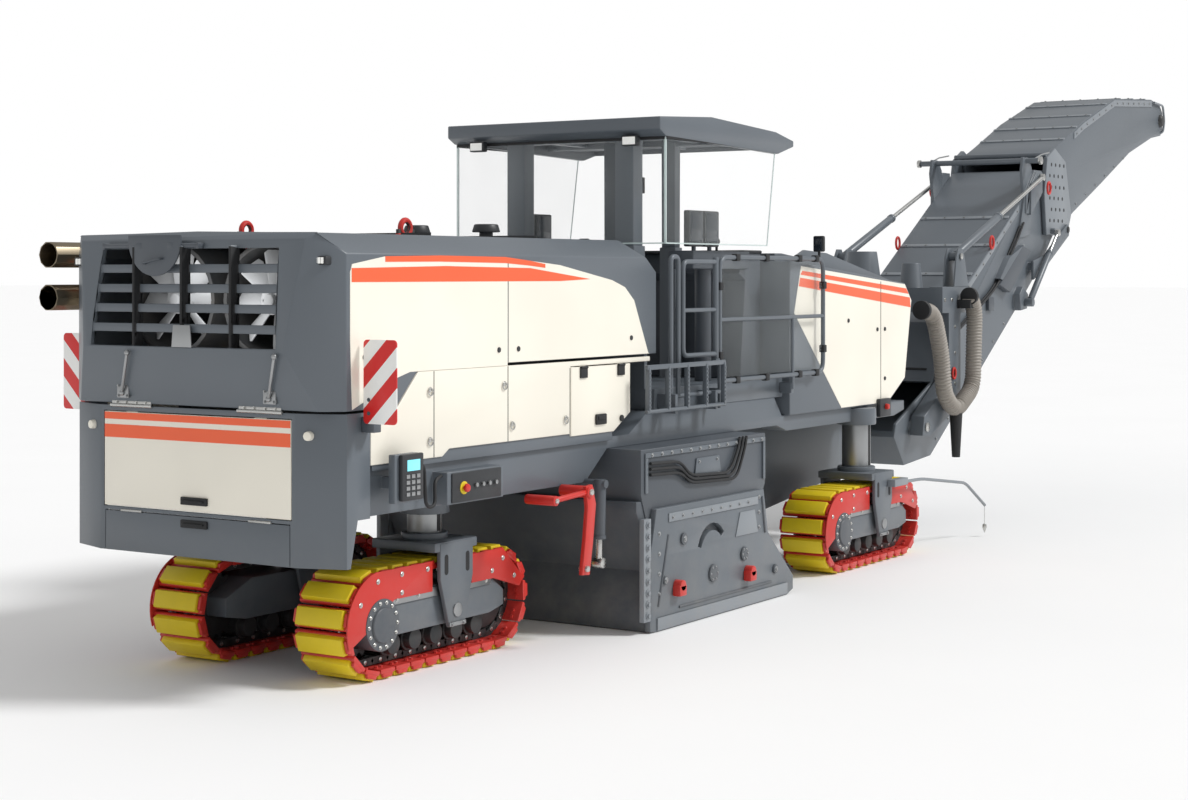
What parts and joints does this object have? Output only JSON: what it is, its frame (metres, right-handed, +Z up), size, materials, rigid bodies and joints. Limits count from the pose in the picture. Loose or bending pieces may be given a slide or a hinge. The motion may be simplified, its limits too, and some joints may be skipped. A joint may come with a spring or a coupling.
{
  "type": "cold planer milling machine",
  "caption": "Road milling machine on four steerable tracks, with a milling drum under its middle, a raised operator's platform under a canopy and a folding, slewing front discharge conveyor.",
  "frame": {"origin": "on the ground under the middle of the machine's overall length and width", "axes": "+X forwards, towards the discharge conveyor; +Y the machine's left; +Z up"},
  "size_m": [20.198, 3.124, 5.44],
  "materials": {
    "grey_paint": "satin slate grey",
    "cream_paint": "satin cream white",
    "dark_steel": "dark coated",
    "bright_steel": "bright",
    "yellow_pads": "moulded yellow pads on steel shoes",
    "clear_glass": "clear",
    "marker_sheet": "reflective red and white sheet",
    "ribbed_hose": "ribbed"
  },
  "bodies": {
    "machine": {"chassis": "grey_paint", "engine_block": "dark_steel", "rear_shell": "grey_paint", "cooler_pack": "dark_steel", "side_panel_right": "cream_paint", "side_panel_left": "cream_paint", "marker_plate_right": "marker_sheet", "marker_plate_left": "marker_sheet", "drum_housing": "grey_paint", "primary_conveyor": "grey_paint", "platform": "grey_paint", "operator_console": "grey_paint", "railing_right": "grey_paint", "railing_left": "grey_paint", "front_bodywork": "cream_paint"},
    "hood": {"engine_hood": "grey_paint", "exhaust_pipes": "bright_steel"},
    "rear_door": {"rear_door": "cream_paint"},
    "rear_flap": {"rear_flap": "grey_paint"},
    "side_flap_right": {"side_flap_right": "cream_paint"},
    "side_flap_left": {"side_flap_left": "cream_paint"},
    "fan_right": {"fan_right": "bright_steel"},
    "fan_left": {"fan_left": "bright_steel"},
    "milling_drum": {"milling_drum": "dark_steel"},
    "edge_plate_right": {"edge_plate_right": "grey_paint"},
    "edge_plate_left": {"edge_plate_left": "grey_paint"},
    "scraper": {"scraper": "grey_paint"},
    "gate_right": {"gate_right": "grey_paint"},
    "gate_left": {"gate_left": "grey_paint"},
    "side_step_right": {"side_step_right": "grey_paint"},
    "side_step_left": {"side_step_left": "grey_paint"},
    "canopy_group": {"canopy": "grey_paint", "canopy_glass": "clear_glass"},
    "track_rear_right": {"track_belt_rear_right": "yellow_pads", "track_frame_rear_right": "grey_paint"},
    "track_rear_left": {"track_belt_rear_left": "yellow_pads", "track_frame_rear_left": "grey_paint"},
    "track_front_right": {"track_belt_front_right": "yellow_pads", "track_frame_front_right": "grey_paint", "track_pointer": "dark_steel"},
    "track_front_left": {"track_belt_front_left": "yellow_pads", "track_frame_front_left": "grey_paint"},
    "swivel": {"swivel_frame": "grey_paint", "vacuum_hose": "ribbed_hose"},
    "lower_belt": {"lower_conveyor": "grey_paint"},
    "upper_belt": {"upper_conveyor": "grey_paint"},
    "lift_barrel_right": {"lift_barrel_right": "grey_paint"},
    "lift_rod_right": {"lift_rod_right": "bright_steel"},
    "lift_barrel_left": {"lift_barrel_left": "grey_paint"},
    "lift_rod_left": {"lift_rod_left": "bright_steel"},
    "fold_barrel_right": {"fold_barrel_right": "grey_paint"},
    "fold_rod_right": {"fold_rod_right": "bright_steel"},
    "fold_barrel_left": {"fold_barrel_left": "grey_paint"},
    "fold_rod_left": {"fold_rod_left": "bright_steel"}
  },
  "joints": [
    {"name": "steer_rear_right", "type": "hinge", "parent": "machine", "child": "track_rear_right", "pos_m": [-8.241, -0.68, 0.79], "axis": [0, 0, 1], "range_deg": [-18, 18]},
    {"name": "steer_rear_left", "type": "hinge", "parent": "machine", "child": "track_rear_left", "pos_m": [-8.241, 0.68, 0.79], "axis": [0, 0, 1], "range_deg": [-18, 18]},
    {"name": "steer_front_right", "type": "hinge", "parent": "machine", "child": "track_front_right", "pos_m": [-1.841, -1.17, 0.79], "axis": [0, 0, 1], "range_deg": [-16, 16]},
    {"name": "steer_front_left", "type": "hinge", "parent": "machine", "child": "track_front_left", "pos_m": [-1.841, 1.17, 0.79], "axis": [0, 0, 1], "range_deg": [-16, 16]},
    {"name": "drum_spin", "type": "hinge", "parent": "machine", "child": "milling_drum", "pos_m": [-5.441, 0, 0.63], "axis": [0, 1, 0], "continuous": true},
    {"name": "fan_spin_right", "type": "hinge", "parent": "machine", "child": "fan_right", "pos_m": [-9.611, -0.445, 2.672], "axis": [1, 0, 0], "continuous": true},
    {"name": "fan_spin_left", "type": "hinge", "parent": "machine", "child": "fan_left", "pos_m": [-9.611, 0.445, 2.672], "axis": [1, 0, 0], "continuous": true},
    {"name": "edge_lift_right", "type": "slide", "parent": "machine", "child": "edge_plate_right", "axis": [0, 0, 1], "range_m": [0, 0.3]},
    {"name": "edge_lift_left", "type": "slide", "parent": "machine", "child": "edge_plate_left", "axis": [0, 0, 1], "range_m": [0, 0.3]},
    {"name": "scraper_lift", "type": "slide", "parent": "machine", "child": "scraper", "axis": [-0.369, 0, 0.9294], "range_m": [0, 0.25]},
    {"name": "rear_door_hinge", "type": "hinge", "parent": "machine", "child": "rear_door", "pos_m": [-9.951, 0, 1.884], "axis": [0, 1, 0], "range_deg": [0, 100]},
    {"name": "rear_flap_hinge", "type": "hinge", "parent": "machine", "child": "rear_flap", "pos_m": [-9.951, 0, 1.18], "axis": [0, 1, 0], "range_deg": [0, 90]},
    {"name": "hood_tilt", "type": "hinge", "parent": "machine", "child": "hood", "pos_m": [-5.971, 0, 3.04], "axis": [0, 1, 0], "range_deg": [0, 40]},
    {"name": "side_flap_hinge_right", "type": "hinge", "parent": "machine", "child": "side_flap_right", "pos_m": [-6.701, -1.252, 2.135], "axis": [-1, 0, 0], "range_deg": [0, 80]},
    {"name": "side_flap_hinge_left", "type": "hinge", "parent": "machine", "child": "side_flap_left", "pos_m": [-6.701, 1.252, 2.135], "axis": [1, 0, 0], "range_deg": [0, 80]},
    {"name": "gate_hinge_right", "type": "hinge", "parent": "machine", "child": "gate_right", "pos_m": [-4.971, -1.32, 2.13], "axis": [0, 0, 1], "range_deg": [0, 90]},
    {"name": "gate_hinge_left", "type": "hinge", "parent": "machine", "child": "gate_left", "pos_m": [-4.971, 1.32, 2.13], "axis": [0, 0, -1], "range_deg": [0, 90]},
    {"name": "step_hinge_right", "type": "hinge", "parent": "machine", "child": "side_step_right", "pos_m": [-5.5985, -1.395, 1.74], "axis": [1, 0, 0], "range_deg": [0, 90]},
    {"name": "step_hinge_left", "type": "hinge", "parent": "machine", "child": "side_step_left", "pos_m": [-5.5985, 1.395, 1.74], "axis": [-1, 0, 0], "range_deg": [0, 90]},
    {"name": "canopy_slide", "type": "slide", "parent": "machine", "child": "canopy_group", "axis": [0, 0, 1], "range_m": [-0.5, 0]},
    {"name": "conveyor_slew", "type": "hinge", "parent": "machine", "child": "swivel", "pos_m": [0.799, 0, 2.475], "axis": [0, 0, 1], "range_deg": [-60, 60]},
    {"name": "conveyor_lift", "type": "hinge", "parent": "swivel", "child": "lower_belt", "pos_m": [0.799, 0, 1.15], "axis": [0, -1, 0], "range_deg": [-12, 4]},
    {"name": "conveyor_fold", "type": "hinge", "parent": "lower_belt", "child": "upper_belt", "pos_m": [5.669, 0, 3.44], "axis": [0, 1, 0], "range_deg": [0, 60]},
    {"name": "lift_cylinder_swing_right", "type": "hinge", "parent": "swivel", "child": "lift_barrel_right", "pos_m": [1.779, -0.705, 3.06], "axis": [0, -1, 0], "range_deg": [-18, 7]},
    {"name": "lift_cylinder_stroke_right", "type": "slide", "parent": "lift_barrel_right", "child": "lift_rod_right", "axis": [0.942, 0, 0.3357], "range_m": [-0.12, 0.36]},
    {"name": "fold_cylinder_swing_right", "type": "hinge", "parent": "lower_belt", "child": "fold_barrel_right", "pos_m": [4.099, -0.745, 2.5], "axis": [0, -1, 0], "range_deg": [0, 9]},
    {"name": "fold_cylinder_stroke_right", "type": "slide", "parent": "fold_barrel_right", "child": "fold_rod_right", "axis": [0.7535, 0, 0.6575], "range_m": [0, 0.51]},
    {"name": "lift_cylinder_swing_left", "type": "hinge", "parent": "swivel", "child": "lift_barrel_left", "pos_m": [1.779, 0.705, 3.06], "axis": [0, -1, 0], "range_deg": [-18, 7]},
    {"name": "lift_cylinder_stroke_left", "type": "slide", "parent": "lift_barrel_left", "child": "lift_rod_left", "axis": [0.942, 0, 0.3357], "range_m": [-0.12, 0.36]},
    {"name": "fold_cylinder_swing_left", "type": "hinge", "parent": "lower_belt", "child": "fold_barrel_left", "pos_m": [4.099, 0.745, 2.5], "axis": [0, -1, 0], "range_deg": [0, 9]},
    {"name": "fold_cylinder_stroke_left", "type": "slide", "parent": "fold_barrel_left", "child": "fold_rod_left", "axis": [0.7535, 0, 0.6575], "range_m": [0, 0.51]}
  ],
  "couplings": [
    {"joint": "steer_rear_left", "follows": "steer_rear_right", "ratio": 1},
    {"joint": "steer_front_left", "follows": "steer_front_right", "ratio": 1},
    {"joint": "lift_cylinder_swing_right", "follows": "conveyor_lift", "ratio": 1.43},
    {"joint": "lift_cylinder_stroke_right", "follows": "conveyor_lift", "m_per_rad": -1.63},
    {"joint": "fold_cylinder_swing_right", "follows": "conveyor_fold", "ratio": 0.14},
    {"joint": "fold_cylinder_stroke_right", "follows": "conveyor_fold", "m_per_rad": 0.47},
    {"joint": "lift_cylinder_swing_left", "follows": "conveyor_lift", "ratio": 1.43},
    {"joint": "lift_cylinder_stroke_left", "follows": "conveyor_lift", "m_per_rad": -1.63},
    {"joint": "fold_cylinder_swing_left", "follows": "conveyor_fold", "ratio": 0.14},
    {"joint": "fold_cylinder_stroke_left", "follows": "conveyor_fold", "m_per_rad": 0.47}
  ]
}
